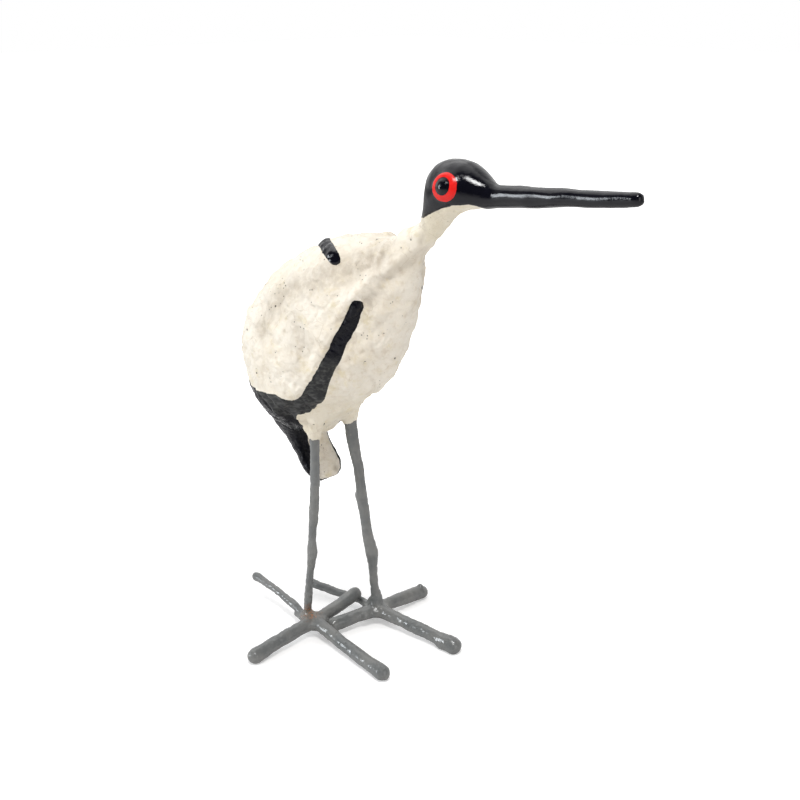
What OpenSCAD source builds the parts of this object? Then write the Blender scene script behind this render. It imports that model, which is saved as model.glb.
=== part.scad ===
// A hand-formed, painted avocet that stands on welded rod feet.
// Millimetres. The bird looks along +X, its left side is +Y and +Z is up.
// The origin is on the floor, under the middle of its length and width.

/* [Body] */
// Half the width of the torso at its widest
torso_half_w = 25.5; // [22:0.5:30]
// Depth of the back, from the spine line to the back's surface
back_depth = 39; // [34:0.5:44]
// Depth of the breast, from the spine line to the breast's surface
breast_depth = 34; // [30:0.5:38]
// Height of the hips, where the belly lumps meet the leg wires
hip_z = 89.5; // [80:0.5:98]
// Sideways distance from the middle of the bird to each hip
hip_y = 9.5; // [8:0.5:12]
// How far the folded wings stand proud of the breast
wing_step = 1.3; // [0.8:0.1:2]
// Depth of the hand-pressed dents in the torso
dent = 0.45; // [0:0.05:0.8]

/* [Head] */
// Half the width of the head
head_half_w = 9.8; // [8.5:0.1:11]
// Half the height of the head
head_half_h = 10.4; // [9:0.1:11.5]
// Length of the bill from the forehead to its tip
bill_len = 54.5; // [45:0.5:65]
// Thickness of the bill at the forehead
bill_root_d = 6.6; // [6:0.1:8]
// Thickness of the bill at its tip
bill_tip_d = 3.2; // [2.6:0.1:4.5]
// Outer diameter of the painted ring round the eye
eye_ring_d = 9.4; // [8:0.1:10.5]
// Diameter of the black pupil
pupil_d = 4.8; // [4:0.1:5.5]

/* [Tail] */
// Width of the tail fan at its end
tail_w = 19; // [16:0.5:22]
// Thickness of the tail and wingtips near their end
tail_t = 6.5; // [5:0.5:8]

/* [Paint] */
// Thickness of the enamel on the body
paint_t = 0.4; // [0.3:0.05:0.6]
// Width of the dabs across the shoulders
dab_w = 4.8; // [4:0.1:6]

/* [Legs] */
// Diameter of the coated leg wires
leg_d = 3.5; // [3:0.1:4.2]
// Length of leg wire that is sunk in the body
embed = 13; // [8:1:16]
// Diameter of the thin back toes
back_toe_d = 3; // [2.6:0.1:3.4]
// Diameter of the front toes
front_toe_d = 5.2; // [4.5:0.1:5.8]
// Diameter of the cross rods that make the side toes
cross_toe_d = 5.2; // [4.5:0.1:5.8]
// Height of the cross rods' middle over their tips
arch = 2.8; // [2:0.1:4]

/* [Right foot] */
// Length of the front toe
right_front_len = 48; // [42:0.5:52]
// Length of the outer toe
right_outer_len = 34.5; // [30:0.5:38]
// Length of the raised inner toe
right_inner_len = 27; // [24:0.5:28]
// Height of the inner toe's underside over the floor at its tip
right_inner_rise = 5.2; // [4.8:0.1:6.4]
// Length of the back toe
right_back_len = 43; // [36:0.5:46]
// Height of the back toe's middle over the floor at its tip
right_back_rise = 9.7; // [8:0.1:11]

/* [Left foot] */
// Length of the front toe
left_front_len = 43; // [38:0.5:48]
// Length of the outer toe
left_outer_len = 30; // [27:0.5:35]
// Length of the inner toe
left_inner_len = 23; // [20:0.5:23.5]
// Height of the inner toe's underside over the floor at its tip
left_inner_rise = 1.6; // [1:0.1:2.4]
// Length of the back toe
left_back_len = 39; // [34:0.5:42]
// Height of the back toe's middle over the floor at its tip
left_back_rise = 5.6; // [4.8:0.1:6.5]

/* [Hidden] */

// Air between a leg wire and its socket, a weld and its rods, and two rods
socket_gap = 0.1;
weld_gap = 0.05;
rod_gap = 0.15;

// Colours, as the finished bird shows them
cream = "#efe9dc";
black = "#15161a";
red = "#d3201f";
grey = "#74787b";

// Sides of a rod, and of the wing and breast parts of half a body section
rod_sides = 12;
wing_sides = 13;
breast_sides = 8;

// Steps between two stations of a rod, the torso or the tail
steps = 2;

// A smooth curve through the points p, with n steps between two neighbours
function at(p, i) = p[max(0, min(len(p) - 1, i))];
function blend(a, b, c, d, t) =
    0.5 * (2 * b + (c - a) * t + (2 * a - 5 * b + 4 * c - d) * t * t
    + (3 * b - a - 3 * c + d) * t * t * t);
function curve(p, n) = [
    for (i = [0 : len(p) - 2], k = [0 : n - 1])
        blend(at(p, i - 1), at(p, i), at(p, i + 1), at(p, i + 2), k / n),
    at(p, len(p) - 1)
];
function unit(v) = v / norm(v);
function place(s) = [s[0], s[1], s[2]];

// Faces of a closed skin over rings of m points, with flat ends
function skin(rings, m) = concat(
    [[for (j = [m - 1 : -1 : 0]) j]],
    [for (i = [0 : rings - 2], j = [0 : m - 1])
        [i * m + j, i * m + (j + 1) % m, (i + 1) * m + j]],
    [for (i = [0 : rings - 2], j = [0 : m - 1])
        [(i + 1) * m + j, i * m + (j + 1) % m, (i + 1) * m + (j + 1) % m]],
    [[for (j = [0 : m - 1]) (rings - 1) * m + j]]
);

// A round rod with domed ends, through stations of [x, y, z, radius]
function dome(a, b, angles) =
    let (out = unit(place(a) - place(b)))
    [for (t = angles) [each place(a) + out * a[3] * sin(t), a[3] * cos(t)]];
function rod_stations(p, grow) =
    let (c = [for (s = curve(p, steps)) s + [0, 0, 0, grow]], e = len(c) - 1)
    concat(dome(c[0], c[1], [75, 50, 25]), c, dome(c[e], c[e - 1], [25, 50, 75]));
function rod_ring(s, i) =
    let (t = unit(place(at(s, i + 1)) - place(at(s, i - 1))),
        u = unit(cross(t, abs(t[2]) > 0.75 ? [0, 1, 0] : [0, 0, 1])),
        v = cross(t, u))
    [for (j = [0 : rod_sides - 1])
        let (a = -360 * j / rod_sides)
        place(s[i]) + s[i][3] * (cos(a) * u + sin(a) * v)];
module rod(p, grow = 0) {
    s = rod_stations(p, grow);
    polyhedron([for (i = [0 : len(s) - 1]) each rod_ring(s, i)], skin(len(s), rod_sides), convexity = 6);
}

// Ankles: the middles of the cross rods, with the left foot a little ahead
ankle_z = cross_toe_d / 2 + arch;
right_ankle = [-10.5, -7.3, ankle_z];
left_ankle = [0.9, 17.8, ankle_z];
hip_x = -4.4;
right_hip = [hip_x, -hip_y, hip_z];
left_hip = [hip_x, hip_y, hip_z];

// Leg wires, with knots of paint where the knees are. The right one ends
// behind its cross rod and the left one on top of it.
// A bend is [share of the way down, shift along X, extra radius].
function leg_path(hip, foot, bends) =
    let (r = leg_d / 2)
    concat(
        [[each hip + [0, 0, embed], r], [each hip + [0, 0, 4], r + bends[0][2]]],
        [for (k = bends) [each hip + k[0] * (foot - hip) + [k[1], 0, 0], r + k[2]]],
        [[each foot, r - 0.2]]
    );
right_foot = right_ankle + [-(cross_toe_d + leg_d) / 2 - rod_gap, 0, -0.6];
left_foot = left_ankle + [0, 0.2, (cross_toe_d + leg_d) / 2 + rod_gap];
right_leg_path = leg_path(right_hip, right_foot, [
    [0.1, 0.7, 0], [0.32, 1.4, 0.05], [0.43, 1.2, -0.1], [0.54, 1, -0.3],
    [0.6, 1.5, 0.2], [0.65, 1.2, -0.1], [0.72, 0.6, -0.4], [0.88, 0.2, -0.25]
]);
left_leg_path = leg_path(left_hip, left_foot, [
    [0.07, 0.5, 0.6], [0.22, 1.4, 0.2], [0.33, 1.1, 0.3], [0.37, 0.5, 0.75], [0.43, 0.7, 0.35],
    [0.52, 0.8, 0.3], [0.63, 1, 0.35], [0.7, 1.9, 0.85], [0.77, 1.2, 0.1], [0.9, 0.3, -0.2]
]);

// Cross rods: the outer tip stands on the floor, the inner one is raised.
// A toe is [length, turn, height of its tip over the floor].
function cross_half(c, toe, side, shares) =
    let (r = cross_toe_d / 2)
    [for (t = shares)
        let (l = t[0] * (toe[0] - r), rise = c[2] - r - toe[2])
        [c[0] + side * l * sin(toe[1]), c[1] + side * l * cos(toe[1]),
            r + t[1] + toe[2] + rise * (1 - pow(t[0], 1.6)), r + t[1]]];
function cross_path(c, outer, inner, side) = concat(
    cross_half(c, outer, side, [[1, 0.3], [0.75, 0.2], [0.4, 0]]),
    cross_half(c, inner, -side, [[0, -0.05], [0.45, -0.05], [0.8, 0.05], [1, 0.05]])
);
right_cross = cross_path(right_ankle, [right_outer_len, -1, 0], [right_inner_len, -3, right_inner_rise], -1);
left_cross = cross_path(left_ankle, [left_outer_len, 1, 0], [left_inner_len, 13, left_inner_rise], 1);

// Front toes: from the cross rod down to the floor, bowed up or down
right_front_turn = -5;
left_front_turn = 7.7;
function front_path(c, length, turn, bow) =
    let (r = front_toe_d / 2, start = (cross_toe_d + front_toe_d) / 2 + rod_gap, end = length - r)
    [for (t = [[0, 0], [0.3, -0.1], [0.55, -0.05], [0.8, 0.05], [0.93, 0.25], [1, 0.2]])
        let (l = start + t[0] * (end - start))
        [c[0] + l * cos(turn), c[1] + l * sin(turn),
            r + t[1] + (c[2] - r) * (1 - t[0]) * (1 + bow * t[0]), r + t[1]]];
right_front = front_path(right_ankle, right_front_len, right_front_turn, -0.6);
left_front = front_path(left_ankle, left_front_len, left_front_turn, 0.4);

// Back toes: thin, raised and a little bent. Each point is
// [share of the length, shift along Y, height, extra radius].
function back_path(start, reach, points) =
    let (r = back_toe_d / 2)
    [for (t = points) [start[0] - t[0] * (reach - r), start[1] + t[1], t[2], r + t[3]]];
right_back_start = right_foot + [-(leg_d + back_toe_d) / 2 - rod_gap, 0, 0];
left_back_start = left_ankle + [-(cross_toe_d + back_toe_d) / 2 - rod_gap, 0, 0];
right_back = back_path(right_back_start, right_back_len - right_ankle[0] + right_back_start[0],
    [for (t = [[0, 0, 0.54, 0], [0.11, 0.5, 0.72, 0], [0.29, 1, 0.78, 0],
            [0.63, 1.5, 0.95, -0.1], [1, 2.1, 1, 0.1]])
        [t[0], t[1], t[2] * right_back_rise, t[3]]]);
// It passes just beyond the right inner toe, its top level with that toe's underside
passing_z = right_inner_rise - back_toe_d / 2;
left_back = back_path(left_back_start, left_back_len - left_ankle[0] + left_back_start[0],
    [[0, 0, passing_z + 0.9, 0.1], [0.17, 2.2, passing_z + 0.2, 0], [0.34, 2.3, passing_z, -0.1],
        [0.57, -0.4, 0.75 * left_back_rise, 0], [0.77, -2.5, 0.9 * left_back_rise, 0.15],
        [1, -5, left_back_rise, 0.1]]);

// The bird's one mass, in a frame with the hips at height 0.
// Sections follow the spine from the belly to the bill. Each station is
// [x, z, tilt, back, front, half width, wing edge angle, share of wing].
// Back and front are depths from the spine point, across the tilted section.
bd = back_depth;
fd = breast_depth;
tw = torso_half_w;
hh = head_half_h;
hw = head_half_w;
head_x = 59.5;
head_z = 105.3;
bill_x = 77;
bill_z = 104.6;
bill_pitch = 6;
function bill_station(t, d) = [
    bill_x + t * bill_len * cos(bill_pitch), bill_z + t * bill_len * sin(bill_pitch),
    90 - bill_pitch, d / 2, d / 2, d / 2, 120, 0
];
spine = [
    [-12, 0.5, 0, 6, 6, 6, 105, 0],
    [-13, 2.6, 0, 0.28 * bd, 0.17 * fd, 0.42 * tw, 105, 0.3],
    [-14, 8, 0, 0.49 * bd, 0.39 * fd, 0.67 * tw, 106, 0.8],
    [-13.5, 17, 5, 0.71 * bd, 0.61 * fd, 0.86 * tw, 110, 1],
    [-12, 29, 10, 0.92 * bd, 0.91 * fd, tw, 115, 1],
    [-7, 43, 15, 0.88 * bd, 1.03 * fd, tw, 120, 1],
    [4, 58, 22, 0.72 * bd, 0.92 * fd, 0.92 * tw, 126, 1],
    [14, 69, 28, 0.5 * bd, 0.76 * fd, 0.78 * tw, 130, 1],
    [24, 76.7, 35, 0.31 * bd, 0.56 * fd, 0.58 * tw, 130, 0.8],
    [33, 80.5, 43, 0.15 * bd, 0.33 * fd, 0.36 * tw, 130, 0.4],
    [40.5, 85.5, 47, 4.2, 6, 6.4, 125, 0],
    [48.5, 91, 42, 3.4, 4.7, 5.4, 120, 0],
    [52.6, 96.4, 46, 0.5 * hh, 0.45 * hh, 0.72 * hw, 120, 0],
    [56, 101.5, 60, 0.97 * hh, 0.62 * hh, 0.93 * hw, 120, 0],
    [head_x, head_z - 1, 76, 0.97 * hh, 0.72 * hh, hw, 120, 0],
    [head_x + 6, head_z, 86, 0.82 * hh, 0.62 * hh, 0.92 * hw, 120, 0],
    [head_x + 12, head_z - 0.2, 88, 0.53 * hh, 0.49 * hh, 0.6 * hw, 120, 0],
    bill_station(0, bill_root_d),
    bill_station(0.1, 0.95 * bill_root_d),
    bill_station(0.5, 0.5 * bill_root_d + 0.5 * bill_tip_d),
    bill_station(0.8, 0.2 * bill_root_d + 0.8 * bill_tip_d),
    bill_station(0.97, bill_tip_d),
    bill_station(1, 0.6 * bill_tip_d)
];

// Angles round half a section, from the back: up to the wing's edge, where
// the surface steps in, and on to the middle of the breast
function half_section(edge) = concat(
    [for (j = [0 : wing_sides]) [edge * j / wing_sides, 1]],
    [for (j = [0 : breast_sides]) [edge + 1.5 + (178.5 - edge) * j / breast_sides, 0]]
);
function dents(s, a, side) =
    dent * s[7] * sin(13 * s[1] + 2 * a + 50 * side) * cos(10 * s[0] + a * side);
function section_point(s, q, side, grow) =
    let (a = q[0], extra = grow + (a > 0 && a < 180 ? dents(s, a, side) : 0),
        lip = q[1] * s[7] * wing_step * min(1, a / 60),
        u = ((a < 90 ? s[3] : s[4]) + extra) * cos(a),
        v = (s[5] + extra + lip) * sin(a))
    [s[0] - u * cos(s[2]), side * v, s[1] + u * sin(s[2])];
function body_ring(s, grow) =
    let (q = half_section(s[6]), last = len(q) - 1)
    concat(
        [for (j = [0 : last]) section_point(s, q[j], 1, grow)],
        [for (j = [last - 1 : -1 : 1]) section_point(s, q[j], -1, grow)]
    );
module mass(grow = 0) {
    s = curve(spine, steps);
    polyhedron([for (t = s) each body_ring(t, grow)], skin(len(s), len(body_ring(s[0], 0))), convexity = 8);
}

// The tail fan with the wingtips over it. Each station is
// [x, z, tilt, back, front, half width, sideways lean].
fan = [
    [-22, 15, -8, 12.5, 13, 17, 0],
    [-22, 6, -14, 10, 8, 13, 0],
    [-20, -2.5, -20, tail_t, 0.62 * tail_t, 0.45 * tail_w, 0],
    [-16, -9.5, -24, 0.66 * tail_t, 0.46 * tail_t, 0.43 * tail_w, 0.4],
    [-12.2, -15, -25, 0.5 * tail_t, 0.42 * tail_t, 0.46 * tail_w, 0.9],
    [-9.8, -18.8, -25, 0.33 * tail_t, 0.3 * tail_t, 0.37 * tail_w, 1.5],
    [-8.9, -20.6, -25, 0.16 * tail_t, 0.16 * tail_t, 0.22 * tail_w, 1.9]
];
fan_sides = 24;
function squarish(c) = sign(c) * pow(abs(c), 0.72);
function fan_ring(t, grow) = [
    for (j = [0 : fan_sides - 1])
        let (a = -360 * j / fan_sides, u = ((cos(a) > 0 ? t[3] : t[4]) + grow) * squarish(cos(a)))
        [t[0] - u * cos(t[2]), t[6] + (t[5] + grow) * squarish(sin(a)), t[1] + u * sin(t[2])]
];
module tail(grow = 0) {
    s = curve(fan, steps);
    polyhedron([for (t = s) each fan_ring(t, grow)], skin(len(s), fan_sides), convexity = 4);
}

// A belly lump that runs down each leg wire
thigh_r = 5;
module thigh(side) {
    hull() {
        translate([hip_x, side * hip_y, 11.5]) sphere(thigh_r, $fn = 24);
        translate([hip_x - 0.4, side * hip_y, 5.6]) sphere(0.72 * thigh_r, $fn = 24);
    }
    hull() {
        translate([hip_x - 0.4, side * hip_y, 5.6]) sphere(0.72 * thigh_r, $fn = 24);
        translate([hip_x, side * hip_y, 2.2]) sphere(leg_d / 2 + 0.9, $fn = 24);
    }
}

// Paint fields: each is a shape seen from one side, cut from a thicker skin
module seen_from_side() {
    rotate([90, 0, 0]) linear_extrude(3 * torso_half_w, center = true) children();
}
module wing_field() {
    polygon([
        [28.6, 63.9], [27.2, 62.3], [25.1, 57.4], [20, 48.1], [14.5, 40.1], [8.3, 30.9],
        [3, 23.8], [-2.1, 20.7], [-8.1, 22.3], [-18.6, 21], [-60, 20.5], [-60, -27],
        [-7.4, -27], [-10.3, -14.4], [-13.9, -8.8], [-16.9, -2], [-14, 1], [-4.5, 2.2],
        [-2.1, 8.8], [-0.4, 13.5], [8.8, 22], [14.3, 31.2], [19.2, 40.7], [23.8, 47.8],
        [27.8, 57.1], [30.2, 61.8], [30.4, 63.2]
    ]);
}
// The underside stays cream between the thighs and down to the tail
module between_thighs() {
    w = 1.4 * hip_y;
    translate([-17, -w / 2, -4]) cube([20, w, 10]);
}
module cap_field() {
    polygon([
        [30, 100], [44.8, 94], [51, 95], [55, 97], [60, 99.4], [64.5, 101],
        [70, 101.9], [73, 101], [75, 98], [150, 98], [150, 128], [30, 128]
    ]);
}

// A dab runs from a shoulder up to the back. Its points are given from the
// middle of the shoulders, with a share of the dab's width.
shoulders = [9, 0, 62];
dab = [
    [8.6, 16.9, 15.2, 0.96], [6.2, 16, 16.5, 1], [0.8, 13, 17.4, 1],
    [-5, 9.3, 17.8, 0.96], [-10, 6, 17.5, 0.92]
];
module dabs(side) {
    intersection() {
        mass(1.8 * paint_t);
        for (i = [0 : len(dab) - 2])
            hull()
                for (q = [dab[i], dab[i + 1]], reach = [0.8, 1.2])
                    translate(shoulders + reach * [q[0], side * q[1], q[2]])
                        sphere(d = q[3] * dab_w, $fn = 16);
    }
}

// An eye looks sideways, a little forward and a little up
eye_x = 60.5;
eye_z = 106.4;
eye_forward = 14;
eye_up = 3;
module eye_disc(side, d, grow) {
    intersection() {
        mass(grow);
        translate([eye_x, 0, eye_z])
            rotate([-side * (90 - eye_up), 0, 0]) rotate([0, eye_forward, 0])
                cylinder(3 * head_half_w, d = d, $fn = 36);
    }
}
module paint() {
    color(black) {
        intersection() {
            union() {
                mass(paint_t);
                tail(paint_t);
            }
            difference() {
                seen_from_side() wing_field();
                between_thighs();
            }
        }
        intersection() {
            mass(paint_t);
            seen_from_side() cap_field();
        }
    }
    for (side = [-1, 1]) {
        color(black) dabs(side);
        color(red) eye_disc(side, eye_ring_d, 1.8 * paint_t);
        color(black) eye_disc(side, pupil_d, 3 * paint_t);
    }
}

// The middle of the whole bird, over which the origin lies
bill_tip = bill_station(1, 0)[0];
back_tip = right_ankle[0] - right_back_len;
right_tip = right_ankle[1] - right_outer_len;
left_tip = left_ankle[1] + left_outer_len;
middle = [(bill_tip + back_tip) / 2, (left_tip + right_tip) / 2, 0];
module coated() {
    color(grey) translate(-middle) children();
}

module body() {
    translate(-middle)
        difference() {
            translate([0, 0, hip_z]) {
                color(cream) {
                    mass();
                    tail();
                    thigh(1);
                    thigh(-1);
                }
                paint();
            }
            rod(right_leg_path, socket_gap);
            rod(left_leg_path, socket_gap);
        }
}
module right_leg() { coated() rod(right_leg_path); }
module left_leg() { coated() rod(left_leg_path); }
module right_cross_toe() { coated() rod(right_cross); }
module left_cross_toe() { coated() rod(left_cross); }
module right_front_toe() { coated() rod(right_front); }
module left_front_toe() { coated() rod(left_front); }
module right_back_toe() { coated() rod(right_back); }
module left_back_toe() { coated() rod(left_back); }

// A weld: a bead along each rod and a web in each corner, cut round the rods
function along(turn, l) = [l * cos(turn), l * sin(turn), 0];
module beads(balls) {
    hull()
        for (b = balls)
            translate(place(b)) sphere(b[3], $fn = 12);
}
module weld(c, leg_foot, back_start, front_turn, rods) {
    r = cross_toe_d / 2;
    core = [each c, r + 0.9];
    front = along(front_turn, 1);
    out = [0, 1, 0];
    difference() {
        union() {
            for (end = [8.5 * front, 7 * out, -7 * out])
                beads([core, [each (c + end), r - 0.6]]);
            for (side = [-1, 1], ahead = [-1, 1])
                beads([core, [each (c + 5.2 * ahead * front), 1.8], [each (c + 5.2 * side * out), 1.8]]);
            beads([core, [each (leg_foot + [0, 0, 3]), leg_d / 2]]);
            beads([core, [each (back_start - [2.5, 0, 0]), back_toe_d / 2]]);
            beads([[each (leg_foot + [0, 0, 1]), leg_d / 2 + 0.7], [each back_start, back_toe_d / 2 + 0.4]]);
        }
        for (p = rods) rod(p, weld_gap);
    }
}
module right_ankle_weld() {
    coated()
        weld(right_ankle, right_foot, right_back_start, right_front_turn,
            [right_leg_path, right_cross, right_front, right_back]);
}
module left_ankle_weld() {
    coated()
        weld(left_ankle, left_foot, left_back_start, left_front_turn,
            [left_leg_path, left_cross, left_front, left_back]);
}

body();
right_leg();
left_leg();
right_cross_toe();
left_cross_toe();
right_front_toe();
left_front_toe();
right_back_toe();
left_back_toe();
right_ankle_weld();
left_ankle_weld();
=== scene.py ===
"""Dresses the avocet figure: hand-formed painted body, coated wire legs and welded rod feet."""
from math import radians

import bpy
import numpy as np
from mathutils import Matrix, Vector, noise


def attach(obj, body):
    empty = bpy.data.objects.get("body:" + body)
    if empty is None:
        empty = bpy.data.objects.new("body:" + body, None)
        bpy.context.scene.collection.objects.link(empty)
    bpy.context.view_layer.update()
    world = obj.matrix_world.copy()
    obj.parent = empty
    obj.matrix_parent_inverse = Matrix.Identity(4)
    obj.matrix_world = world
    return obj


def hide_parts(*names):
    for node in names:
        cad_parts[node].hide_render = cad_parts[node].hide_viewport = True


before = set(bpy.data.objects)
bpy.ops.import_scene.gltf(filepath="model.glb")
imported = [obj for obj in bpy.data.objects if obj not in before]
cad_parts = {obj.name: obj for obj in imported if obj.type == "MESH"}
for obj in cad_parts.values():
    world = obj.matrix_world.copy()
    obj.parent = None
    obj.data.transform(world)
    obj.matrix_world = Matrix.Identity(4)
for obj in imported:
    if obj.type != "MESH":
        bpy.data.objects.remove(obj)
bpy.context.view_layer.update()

MM = 0.001
# The middle of the hips in the row frame: body features are placed from it, in millimetres
HIP = np.array([-38.85, -3.0, 89.5])


# Mesh help

def points(mesh):
    co = np.zeros(len(mesh.vertices) * 3, np.float32)
    mesh.vertices.foreach_get("co", co)
    return co.reshape(-1, 3).astype(float) / MM


def normals(mesh):
    no = np.zeros(len(mesh.vertices) * 3, np.float32)
    mesh.vertices.foreach_get("normal", no)
    return no.reshape(-1, 3).astype(float)


def put_points(mesh, p):
    mesh.vertices.foreach_set("co", (p * MM).astype(np.float32).ravel())
    mesh.update()


def formed(name, node_names, voxel, smoothing):
    """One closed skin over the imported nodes, in even small faces, with its facets melted away."""
    made = bpy.data.objects.new(name, bpy.data.meshes.new(name))
    bpy.context.scene.collection.objects.link(made)
    corners, faces = [], []
    for n in node_names:
        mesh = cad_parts[n].data
        start = sum(len(c) for c in corners)
        corners.append(points(mesh) * MM)
        faces += [[start + v for v in f.vertices] for f in mesh.polygons]
    made.data.from_pydata(np.concatenate(corners).tolist(), [], faces)
    made.data.update()
    weld = made.modifiers.new("weld", "WELD")
    weld.merge_threshold = 1e-6
    remesh = made.modifiers.new("remesh", "REMESH")
    remesh.mode = "VOXEL"
    remesh.voxel_size = voxel * MM
    soften = made.modifiers.new("soften", "SMOOTH")
    soften.factor = 0.5
    soften.iterations = smoothing
    depsgraph = bpy.context.evaluated_depsgraph_get()
    skin = bpy.data.meshes.new_from_object(made.evaluated_get(depsgraph))
    made.modifiers.clear()
    made.data = skin
    skin.name = name
    skin.shade_smooth()
    return made


def lumps(p, size, seed, octaves=2):
    """Smooth noise from about -1 to 1 with features of this size in millimetres."""
    shift = Vector((seed * 7.3, seed * 3.1, seed * 5.7))
    return np.array([noise.fractal(Vector(v) / size + shift, 1.0, 2.0, octaves) for v in p])


def near_path(p, path):
    """Distance of each point to a line through the points of a path."""
    best = np.full(len(p), 1e9)
    for a, b in zip(path[:-1], path[1:]):
        a, b = np.array(a, float), np.array(b, float)
        t = np.clip((p - a) @ (b - a) / ((b - a) @ (b - a)), 0, 1)
        best = np.minimum(best, np.linalg.norm(p - (a + t[:, None] * (b - a)), axis=1))
    return best


def bell(distance, width):
    return np.exp(-((distance / width) ** 2))


def step(x, low, high):
    t = np.clip((x - low) / (high - low), 0, 1)
    return t * t * (3 - 2 * t)


def inside_outline(x, z, outline):
    """Signed distance to a closed outline, positive inside it."""
    p = np.stack([x, z], 1)
    distance = near_path(p, outline + outline[:1])
    within = np.zeros(len(x), bool)
    for (ax, az), (bx, bz) in zip(outline, outline[1:] + outline[:1]):
        crosses = (az > z) != (bz > z)
        with np.errstate(divide="ignore", invalid="ignore"):
            within ^= crosses & (x < (bx - ax) * (z - az) / (bz - az) + ax)
    return np.where(within, distance, -distance)


def inside_stroke(p, stroke):
    """Signed distance to a stroke of [x, y, z, radius], positive inside it."""
    best = np.full(len(p), -1e9)
    for a, b in zip(np.array(stroke[:-1], float), np.array(stroke[1:], float)):
        d = (b - a)[:3]
        t = np.clip((p - a[:3]) @ d / (d @ d), 0, 1)
        gap = np.linalg.norm(p - (a[:3] + t[:, None] * d), axis=1)
        best = np.maximum(best, a[3] + t * (b[3] - a[3]) - gap)
    return best


def keep(mesh, name, values):
    mesh.attributes.new(name, "FLOAT", "POINT").data.foreach_set("value", values.astype(np.float32))


# Material help

class Nodes:
    """Builds a material's nodes with few words."""

    def __init__(self, name):
        self.material = bpy.data.materials.new(name)
        self.material.use_nodes = True
        self.tree = self.material.node_tree
        self.shader = self.tree.nodes["Principled BSDF"]
        self.place = self.add("ShaderNodeTexCoord").outputs["Object"]

    def add(self, kind, **settings):
        node = self.tree.nodes.new(kind)
        for key, value in settings.items():
            setattr(node, key, value)
        return node

    def link(self, source, socket):
        if isinstance(source, (int, float, tuple)):
            socket.default_value = source
        else:
            self.tree.links.new(source, socket)

    def math(self, kind, a, b=0.0, clamp=False):
        node = self.add("ShaderNodeMath", operation=kind, use_clamp=clamp)
        self.link(a, node.inputs[0])
        self.link(b, node.inputs[1])
        return node.outputs[0]

    def attribute(self, name):
        return self.add("ShaderNodeAttribute", attribute_name=name).outputs["Fac"]

    def noise(self, size, detail=3.0, rough=0.55, place=None):
        """Noise from 0 to 1 with features of this size in millimetres."""
        node = self.add("ShaderNodeTexNoise")
        node.inputs["Scale"].default_value = 1 / (size * MM)
        node.inputs["Detail"].default_value = detail
        node.inputs["Roughness"].default_value = rough
        self.link(place or self.place, node.inputs["Vector"])
        return node.outputs["Fac"]

    def cells(self, size, feature="F1", place=None):
        node = self.add("ShaderNodeTexVoronoi", feature=feature)
        node.inputs["Scale"].default_value = 1 / (size * MM)
        self.link(place or self.place, node.inputs["Vector"])
        return node.outputs["Distance"]

    def stretched(self, turn, scale):
        node = self.add("ShaderNodeMapping")
        node.inputs["Rotation"].default_value = turn
        node.inputs["Scale"].default_value = scale
        self.link(self.place, node.inputs["Vector"])
        return node.outputs[0]

    def warped(self, size, reach):
        """Object coordinates pushed about by noise of this size, over this reach in millimetres."""
        node = self.add("ShaderNodeTexNoise")
        node.inputs["Scale"].default_value = 1 / (size * MM)
        self.link(self.place, node.inputs["Vector"])
        scaled = self.add("ShaderNodeVectorMath", operation="SCALE")
        self.link(node.outputs["Color"], scaled.inputs[0])
        scaled.inputs["Scale"].default_value = reach * MM
        moved = self.add("ShaderNodeVectorMath", operation="ADD")
        self.link(self.place, moved.inputs[0])
        self.link(scaled.outputs[0], moved.inputs[1])
        return moved.outputs[0]

    def ramp(self, value, low, high, to_low=0.0, to_high=1.0):
        node = self.add("ShaderNodeMapRange", interpolation_type="SMOOTHSTEP")
        for socket, number in zip(node.inputs[1:5], (low, high, to_low, to_high)):
            socket.default_value = number
        self.link(value, node.inputs[0])
        return node.outputs[0]

    def mix(self, share, a, b):
        node = self.add("ShaderNodeMix", data_type="RGBA")
        self.link(share, node.inputs["Factor"])
        for socket, value in ((node.inputs[6], a), (node.inputs[7], b)):
            self.link((*value, 1.0) if isinstance(value, tuple) else value, socket)
        return node.outputs[2]

    def blend(self, share, a, b):
        node = self.add("ShaderNodeMix", data_type="FLOAT")
        for socket, value in zip((node.inputs[0], node.inputs[2], node.inputs[3]), (share, a, b)):
            self.link(value, socket)
        return node.outputs[0]

    def bump(self, height, depth, below=None):
        """A bump of this depth in millimetres."""
        node = self.add("ShaderNodeBump")
        node.inputs["Distance"].default_value = depth * MM
        self.link(height, node.inputs["Height"])
        if below:
            self.link(below, node.inputs["Normal"])
        return node.outputs[0]


# The body: every feature is in millimetres from the hips, and its left side
# mirrors the right one. Paint fields are seen from the side, as [x, z].

WINGTIPS = [
    (11, 31), (8.3, 30.9), (3, 23.8), (-2.1, 20.7), (-8.1, 22.3), (-18.6, 21), (-60, 20.5),
    (-60, -27), (-4, -27), (-6, -14), (-10, -6), (-4.5, 2.2), (-2.1, 8.8), (-0.4, 13.5),
    (8.8, 22), (12, 27),
]
CAP = [
    (30, 100), (44.8, 94), (51, 95), (55, 97), (60, 99.4), (64.5, 101),
    (70, 101.9), (73, 101), (75, 98), (150, 98), (150, 128), (30, 128),
]
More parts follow.
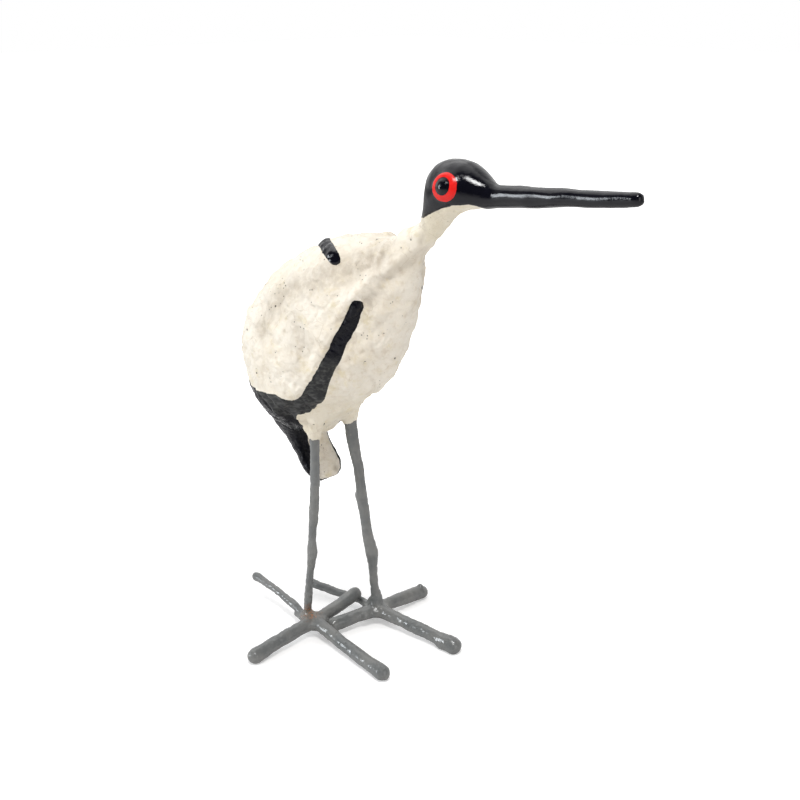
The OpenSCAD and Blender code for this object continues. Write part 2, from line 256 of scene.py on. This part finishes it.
# Strokes and lines over the surface are [x, distance from the middle, z]
DAB = [
    (17.6, 16.9, 77.2, 2.3), (15.2, 16, 78.5, 2.4), (9.8, 13, 79.4, 2.4),
    (4, 9.3, 79.8, 2.3), (-1, 6, 79.5, 2.2),
]
BAND = [
    (28.8, 16.7, 61.9, 2.5), (25.2, 17.2, 54.9, 2.7), (21.6, 18.4, 48.3, 2.7),
    (17.2, 19, 40.1, 2.8), (12.9, 19.7, 32.7, 3), (8.3, 19.5, 25, 3.8),
]
THIGH = [(-3.2, 13, 11.5, 5), (-4.4, 9.5, 11.5, 5.3), (-4.8, 9.5, 5.6, 3.9), (-4.4, 9.5, 0, 3)]
# The tail's middle line as [height, x] and its underside's two edges as [height, y]
TAIL_MIDDLE = [
    (-20.6, -8.9), (-18.8, -9.8), (-15, -12.2), (-9.5, -16), (-2.5, -20), (6, -22), (8, -22),
]
UNDERSIDE = [
    [(-20.6, -3), (-18, -4.2), (-15, -4.2), (-9.5, -3.6), (3, -3.4), (8, -6)],
    [(-20.6, 4), (-18, 7.4), (-15, 8.2), (-9.5, 7.4), (-2.5, 7), (8, 6)],
]
RIDGE = [
    (45.4, 3.8, 83.6), (40.1, 6.3, 79.3), (35.7, 9.7, 74.9), (31.6, 13.4, 72), (27.9, 16.7, 67.6),
    (24.7, 18.7, 62.4), (19, 20.5, 53.1), (12, 21, 41.1), (6.5, 22, 31.6), (0.5, 22, 24.1),
]
BREAST_EDGE = [
    (45.5, 1, 82.1), (40.9, 5.1, 77.8), (37.1, 8.1, 73.5), (33.7, 11.6, 67.1), (30.4, 14.3, 62.6),
]
BACK_HOLLOW = [
    (31, 10.5, 80.5), (28, 12.9, 78.4), (23.1, 16.9, 74), (13.4, 20.6, 70.1), (3.1, 22.2, 66.3),
    (-5.8, 23.5, 61.2), (-13.3, 24.4, 53.1), (-15.5, 25.9, 46.7),
]
SIDE_HOLLOW = [(2.8, 25.4, 51.9), (7.1, 24.5, 45.1), (3.8, 25, 34.5)]
SHOULDER_SEAM = [(28.9, 13.7, 75.8), (33.2, 11.1, 76.1), (34, 8.9, 81.5), (35.9, 6.4, 85.3)]
WINGTIP_SEAM = [(-14.5, 24.6, 20.4), (-9.1, 22, 14.6), (-7.3, 16.7, 9.5), (-1.7, 12.9, 7.4)]
BELLY_SEAMS = [[(24, 6, 32), (21, 1, 27), (17, 3, 22)], [(19, 9, 25), (13.5, 8, 20), (6, 8, 14)]]
NECK_SEAM = [(49.8, 6.1, 94.1), (50.4, 5.2, 90.4), (47.5, 4, 86)]
SPECKLED = [(-22, 20.2, 55.2), (-15.8, 21.7, 59), (-9.9, 20.4, 64.8), (-3.6, 22.3, 64.4)]
SMUDGES = [
    (-8.4, 4.9, -17.2, 1.6), (25.2, 16, 74.5, 0.8), (2.4, 24.1, 28.5, 0.9), (17.4, 18.4, 38.4, 0.9),
]
EYE = np.array([60.5, 0, 106.4])
EYE_FORWARD, EYE_UP = radians(14), radians(3)
RING_R, PUPIL_R = 4.6, 2.7
PUPIL_SHIFT = np.array([-0.3, 0, 0.35])


def eye_field(p, side, centre, radius):
    """Signed distance to a disc that looks sideways from the head."""
    axis = np.array([
        np.sin(EYE_FORWARD), side * np.cos(EYE_FORWARD) * np.cos(EYE_UP), np.sin(EYE_UP),
    ])
    away = p - centre
    along = away @ axis
    across = np.linalg.norm(away - along[:, None] * axis, axis=1)
    return np.where(along > 0, radius - across, -5)


def body_skin():
    body = formed("body_skin", ["body"], voxel=0.62, smoothing=7)
    mesh = body.data
    p = points(mesh) - HIP
    x, y, z = p.T
    near_side = np.stack([x, abs(y), z], 1)
    hand = 0.3 * lumps(p, 3.2, 1)

    seam = near_path(near_side, WINGTIP_SEAM)
    wing = np.maximum(inside_outline(x, z, WINGTIPS), inside_stroke(near_side, BAND))
    # The thighs, and the underside from between them to the tail's end, stay cream
    under = np.minimum(x - np.interp(z, *zip(*TAIL_MIDDLE)) - 1, 8.5 - z)
    low_y, high_y = (np.interp(z, *zip(*edge)) for edge in UNDERSIDE)
    under = np.minimum(under, np.minimum(y - low_y, high_y - y))
    thigh = inside_stroke(near_side, THIGH)
    wing = np.minimum(wing, -np.maximum(thigh, under)) + hand
    cap = inside_outline(x, z, CAP) + 0.6 * hand
    dab = inside_stroke(near_side, DAB) + 0.5 * hand
    ring = np.maximum(eye_field(p, 1, EYE, RING_R), eye_field(p, -1, EYE, RING_R)) + 0.3 * hand
    pupil = np.maximum(
        eye_field(p, 1, EYE + PUPIL_SHIFT, PUPIL_R), eye_field(p, -1, EYE + PUPIL_SHIFT, PUPIL_R),
    ) + 0.3 * hand

    torso = step(z, 0, 10) * (1 - step(x, 34, 44))
    hollows = 1.6 * bell(near_path(near_side, BACK_HOLLOW), 6.5)
    hollows += 0.9 * bell(near_path(near_side, SIDE_HOLLOW), 4)
    hollows += 0.9 * bell(near_path(near_side, BREAST_EDGE), 3)
    seams = 0.4 * bell(near_path(near_side, SHOULDER_SEAM), 1.6) + 0.7 * bell(seam, 1)
    seams += 0.4 * bell(near_path(near_side, NECK_SEAM), 0.8)
    for line in BELLY_SEAMS:
        seams += 0.35 * bell(near_path(near_side, line), 0.7)
    ridges = 1.1 * bell(near_path(near_side, RIDGE), 2.1)
    shoulder = [np.add(q, (-1.2, 0, 1)) for q in SHOULDER_SEAM]
    ridges += 0.5 * bell(near_path(near_side, shoulder), 1.3)
    ridges *= 1 - step(wing, -0.6, 0.6)
    bill = step(x, 70, 78)
    push = ridges - hollows - seams
    folds = bell(lumps(p, 12, 8), 0.07) + 0.7 * bell(lumps(p, 8, 9), 0.06)
    pressed = 0.8 * lumps(p, 13, 2) + 0.85 * lumps(p * np.array([1, 1, 0.7]), 5.5, 3)
    push += torso * (pressed - 0.4 * folds)
    enamel = step(cap, -0.4, 0.4)
    push += 0.22 * (1 - enamel) * lumps(p, 2.4, 4, 3)
    push += enamel * (0.12 + 0.36 * bill * lumps(p * np.array([0.5, 1, 1]), 4.2, 7, 1))
    push += 0.3 * step(dab, 0, 1.6) + 0.25 * step(ring, 0, 0.7) + 0.6 * step(pupil, 0, 2)
    put_points(mesh, points(mesh) + normals(mesh) * push[:, None])

    dull = 0.45 * np.maximum(1 - step(x, 48, 54), step(z - 0.3 * x, 92, 96))
    shine = np.maximum(step(cap, -0.2, 0.2) * (1 - 0.7 * dull), step(dab, -0.2, 0.2))
    below_seam = step(-4.5 * (x + 9) - 7 * (z - 14), 0, 25) * (1 - step(x, -4, 2))
    shine = np.maximum(shine, np.maximum(step(z, 37, 43), 0.9 * below_seam))
    # Painted shade: the cream is darkened in the hollows and seams and kept lighter on the ridges;
    # the smudges are real dark marks
    hollow_shade_and_smudges = np.clip(hollows * 0.5 + seams * 0.9 - ridges * 0.2, 0, 1)
    for q in SMUDGES:
        spot = bell(np.linalg.norm(near_side - np.array(q[:3]), axis=1), q[3])
        hollow_shade_and_smudges = np.maximum(hollow_shade_and_smudges, spot)
    kept = (
        ("wing_paint", wing), ("cap_paint", cap), ("dab_paint", dab), ("ring_paint", ring),
        ("pupil_paint", pupil), ("shine", shine), ("hollow_shade_and_smudges", hollow_shade_and_smudges),
        ("speckled", bell(near_path(near_side, SPECKLED), 5)),
        ("deeper_cream_low_and_neck", np.maximum(step(x, 44, 52), 0.6 * (1 - step(z, 14, 30)) * step(z, -6, 4))),
    )
    for name, field in kept:
        keep(mesh, name, np.clip(field, -5, 5))
    return body


def body_paint():
    n = Nodes("painted_body")
    wobble = n.math("MULTIPLY", n.math("SUBTRACT", n.noise(0.9), 0.5), 0.45)
    edge = {
        name: n.ramp(n.math("ADD", n.attribute(name), wobble), -0.06, 0.06)
        for name in ("wing_paint", "cap_paint", "dab_paint", "ring_paint")
    }
    pupil = n.ramp(n.attribute("pupil_paint"), -0.06, 0.06)
    black = n.math("MAXIMUM", edge["cap_paint"], edge["dab_paint"])
    black = n.math("MAXIMUM", edge["wing_paint"], black)
    shine = n.math("MAXIMUM", n.attribute("shine"), pupil)

    cream = n.mix(n.ramp(n.noise(14), 0.35, 0.7), (0.84, 0.775, 0.67), (0.79, 0.71, 0.585))
    cream = n.mix(n.ramp(n.noise(3, 5, 0.65), 0.5, 0.72, 0, 0.75), cream, (0.68, 0.585, 0.46))
    # The cream is mixed darker and yellower towards the bottom of the body and along the neck
    cream = n.mix(n.math("MULTIPLY", n.attribute("deeper_cream_low_and_neck"), 0.6), cream, (0.72, 0.64, 0.47))
    stain = n.ramp(n.noise(7, 6, 0.75), 0.54, 0.68, 0, 0.6)
    cream = n.mix(stain, cream, (0.7, 0.6, 0.38))
    # Painted shade in the hollows and seams, together with the real smudges, darkens the cream here
    shade_and_smudge_share = n.math("MULTIPLY", n.attribute("hollow_shade_and_smudges"), n.ramp(n.noise(4, 6, 0.7), 0.3, 0.62, 0.45, 1))
    cream = n.mix(shade_and_smudge_share, cream, (0.47, 0.4, 0.31))
    often = n.math("ADD", n.noise(8, 1), n.math("MULTIPLY", n.attribute("speckled"), 0.3))
    small = n.math("MULTIPLY", n.ramp(n.cells(1.7), 0.1, 0.18, 1, 0), n.ramp(often, 0.56, 0.66))
    large = n.math("MULTIPLY", n.ramp(n.cells(6), 0.055, 0.08, 1, 0), n.ramp(often, 0.42, 0.5))
    pits = n.math("MAXIMUM", small, large)
    cream = n.mix(pits, cream, (0.1, 0.07, 0.045))

    cracks = n.ramp(n.cells(9, "DISTANCE_TO_EDGE", n.warped(4, 3)), 0.004, 0.016, 1, 0)
    cracks = n.math("MULTIPLY", cracks, n.ramp(n.noise(11, 2), 0.52, 0.6))
    cream = n.mix(n.math("MULTIPLY", cracks, 0.32), cream, (0.4, 0.31, 0.2))

    streaks = n.noise(1.1, 4, 0.6, n.stretched((0, radians(-55), 0), (0.16, 1, 1)))
    worn = n.mix(n.ramp(streaks, 0.4, 0.75), (0.02, 0.02, 0.021), (0.075, 0.075, 0.07))
    wet = n.mix(n.noise(3, 4), (0.002, 0.002, 0.0035), (0.005, 0.005, 0.009))
    dark = n.mix(shine, worn, wet)
    red = n.mix(n.noise(1.2, 4), (0.6, 0.008, 0.007), (0.74, 0.016, 0.012))
    colour = n.mix(black, cream, dark)
    colour = n.mix(edge["ring_paint"], colour, red)
    colour = n.mix(pupil, colour, wet)
    n.link(colour, n.shader.inputs["Base Color"])

    mirror = n.blend(black, 0.5, n.blend(edge["wing_paint"], 0.34, 0.16))
    n.link(mirror, n.shader.inputs["Specular IOR Level"])
    rough_cream = n.ramp(n.noise(5, 4), 0.3, 0.7, 0.3, 0.5)
    rough_worn = n.ramp(n.noise(2, 4), 0.3, 0.7, 0.38, 0.55)
    rough_wet = n.ramp(n.noise(6), 0.3, 0.7, 0.04, 0.09)
    rough_black = n.blend(shine, rough_worn, rough_wet)
    rough = n.blend(black, rough_cream, rough_black)
    rough = n.blend(edge["ring_paint"], rough, 0.25)
    rough = n.blend(pupil, rough, 0.05)
    n.link(rough, n.shader.inputs["Roughness"])

    wrinkle = n.ramp(n.noise(1.8, 5, 0.62), 0.25, 0.75)
    height = n.bump(n.math("MAXIMUM", black, edge["ring_paint"]), 0.2)
    less_on_black = n.math("SUBTRACT", 1, n.math("MULTIPLY", black, 0.85))
    height = n.bump(n.math("MULTIPLY", wrinkle, less_on_black), 0.26, height)
    band = n.math("MULTIPLY", edge["wing_paint"], n.attribute("shine"))
    height = n.bump(n.math("MULTIPLY", n.noise(1.1, 3, 0.5), band), 0.5, height)
    open_pits = n.math("MULTIPLY", pits, n.math("SUBTRACT", 1, black))
    height = n.bump(n.math("SUBTRACT", 1, open_pits), 0.25, height)
    n.link(height, n.shader.inputs["Normal"])
    return n.material


# Legs, toes and welds. Drips of paint are [x, y, z, radius, height] in the
# row frame, in millimetres.

DRIPS = {
    "right": [
        (-48.8, -43.5, 4, 3.5, 0.3), (-2.5, -14.5, 3, 4, 0.3), (-50.8, 15, 8.5, 3.5, 0.3),
        (-89.5, -8.2, 10.5, 2, 0.3), (-51, -12.5, 12, 2.2, 0.5),
    ],
    "left": [
        (2.5, 20, 2.5, 4.5, 0.7), (-3, 18, 1.5, 2, 0.8), (4, 17.5, 1.5, 1.8, 0.7),
        (-43.2, -6.5, 4.5, 3.2, 0.6), (-42, -2, 3, 1.5, 0.7), (-37.4, 41.5, 5.6, 1.1, 1.2),
        (-75, 10, 6.5, 1.6, 0.5), (-38, 15.2, 13.5, 2, 0.6), (-60, 17, 4.5, 2.2, 0.4),
    ],
}
FOOT_PARTS = ("leg", "cross_toe", "front_toe", "back_toe", "ankle_weld")
# The middle of the rust, on the right ankle's weld
RUST = Vector((-51, -11, 8.5)) * MM


def lumpy_rods(name, node_names, drips):
    """Rods and weld as one painted skin, with brush lumps and drips."""
    piece = formed(name, node_names, voxel=0.4, smoothing=6)
    mesh = piece.data
    p = points(mesh)
    push = 0.24 + 0.22 * lumps(p, 6, 5) + 0.16 * lumps(p, 1.8, 6)
    for x, y, z, radius, height in drips:
        push += height * bell(np.linalg.norm(p - np.array([x, y, z]), axis=1), radius)
    push *= step(p[:, 2], 0, 1.2)
    put_points(mesh, p + normals(mesh) * push[:, None])
    return piece


def rod_paint():
    n = Nodes("grey_coat")
    grey = n.mix(n.ramp(n.noise(9, 3), 0.35, 0.65), (0.13, 0.135, 0.134), (0.17, 0.17, 0.163))
    grey = n.mix(n.ramp(n.noise(2, 5), 0.6, 0.8, 0, 0.35), grey, (0.26, 0.25, 0.23))
    offset = n.add("ShaderNodeVectorMath", operation="DISTANCE")
    n.link(n.place, offset.inputs[0])
    offset.inputs[1].default_value = RUST
    close = n.ramp(offset.outputs["Value"], 0.001, 0.0065, 1, 0)
    rust = n.math("MULTIPLY", close, n.ramp(n.noise(1.4, 5, 0.7), 0.5, 0.6, 0, 0.8))
    grey = n.mix(n.math("MULTIPLY", close, 0.6), grey, (0.15, 0.115, 0.08))
    grey = n.mix(rust, grey, (0.34, 0.11, 0.03))
    n.link(grey, n.shader.inputs["Base Color"])
    coat = n.ramp(n.noise(3, 4), 0.3, 0.7, 0.1, 0.26)
    n.link(n.math("ADD", coat, n.math("MULTIPLY", rust, 0.4)), n.shader.inputs["Roughness"])
    n.link(n.bump(n.noise(2.2, 2), 0.22), n.shader.inputs["Normal"])
    return n.material


# Staging: a white floor, an even room and soft lamps

def stage():
    n = Nodes("studio_white")
    n.shader.inputs["Base Color"].default_value = (0.82, 0.81, 0.8, 1)
    n.shader.inputs["Roughness"].default_value = 0.9
    bpy.ops.mesh.primitive_plane_add(size=8)
    floor = bpy.context.object
    floor.name = "floor"
    floor.data.materials.append(n.material)
    seen = n.add("ShaderNodeLightPath").outputs["Is Camera Ray"]
    away = n.add("ShaderNodeVectorMath", operation="LENGTH")
    n.link(n.place, away.inputs[0])
    lift = n.add("ShaderNodeEmission")
    glow = n.ramp(away.outputs["Value"], 0.06, 0.3, 0.36, 1)
    n.link(n.math("MULTIPLY", seen, glow), lift.inputs["Strength"])
    total = n.add("ShaderNodeAddShader")
    n.tree.links.new(n.shader.outputs[0], total.inputs[0])
    n.tree.links.new(lift.outputs[0], total.inputs[1])
    n.tree.links.new(total.outputs[0], n.tree.nodes["Material Output"].inputs["Surface"])

    # Mirror-like paint sees a room that is dark round the photographer
    world = bpy.data.worlds.new("studio")
    world.use_nodes = True
    bpy.context.scene.world = world
    tree = world.node_tree
    background = tree.nodes["Background"]
    background.inputs["Color"].default_value = (1, 1, 1, 1)
    path = tree.nodes.new("ShaderNodeLightPath")
    direction = tree.nodes.new("ShaderNodeTexCoord")
    toward = tree.nodes.new("ShaderNodeVectorMath")
    toward.operation = "DOT_PRODUCT"
    toward.inputs[1].default_value = (0.6, -0.64, 0.48)
    tree.links.new(direction.outputs["Generated"], toward.inputs[0])
    mirrored = tree.nodes.new("ShaderNodeMapRange")
    for socket, value in zip(mirrored.inputs[1:5], (-0.4, 0.35, 0.95, 0.02)):
        socket.default_value = value
    tree.links.new(toward.outputs["Value"], mirrored.inputs[0])
    level = 0.43
    for ray, strength in (("Is Glossy Ray", mirrored.outputs[0]), ("Is Camera Ray", 1.0)):
        choose = tree.nodes.new("ShaderNodeMix")
        tree.links.new(path.outputs[ray], choose.inputs[0])
        for value, socket in ((level, choose.inputs[2]), (strength, choose.inputs[3])):
            if isinstance(value, float):
                socket.default_value = value
            else:
                tree.links.new(value, socket)
        level = choose.outputs[0]
    tree.links.new(level, background.inputs["Strength"])

    white, sky = (1, 1, 1), (0.9, 0.95, 1)
    aim = Vector((0, 0, 0.15))
    for name, place, size, power, colour in (
        ("overhead", (-0.35, 0.15, 0.95), (0.9, 0.9), 2.9, white),
        ("front_window", (0.23, -0.23, 0.84), (0.16, 0.16), 3.4, white),
        ("left_window", (-0.55, -0.72, 0.3), (0.22, 0.42), 4.7, sky),
        ("right_fill", (0.85, -0.05, 0.35), (0.6, 0.6), 1.9, white),
    ):
        lamp = bpy.data.lights.new(name, "AREA")
        lamp.shape = "RECTANGLE"
        lamp.size, lamp.size_y = size
        lamp.energy = power
        lamp.color = colour
        made = bpy.data.objects.new(name, lamp)
        made.location = place
        made.rotation_euler = (aim - Vector(place)).to_track_quat("-Z", "Y").to_euler()
        bpy.context.scene.collection.objects.link(made)


def camera():
    data = bpy.data.cameras.new("photo_camera")
    data.sensor_width = 36
    data.lens = 51.75
    made = bpy.data.objects.new("photo_camera", data)
    made.location = (0.2756, -0.2841, 0.2585)
    made.rotation_euler = (radians(70), 0, radians(45))
    bpy.context.scene.collection.objects.link(made)
    bpy.context.scene.camera = made


def main():
    bpy.context.scene.view_settings.view_transform = "Standard"
    camera()
    stage()
    body = body_skin()
    body.data.materials.append(body_paint())
    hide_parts("body")
    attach(body, "root")
    coat = rod_paint()
    for side in ("right", "left"):
        nodes = [f"{side}_{part}" for part in FOOT_PARTS]
        foot = lumpy_rods(f"{side}_leg_and_foot", nodes, DRIPS[side])
        foot.data.materials.append(coat)
        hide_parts(*nodes)
        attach(foot, "root")


main()
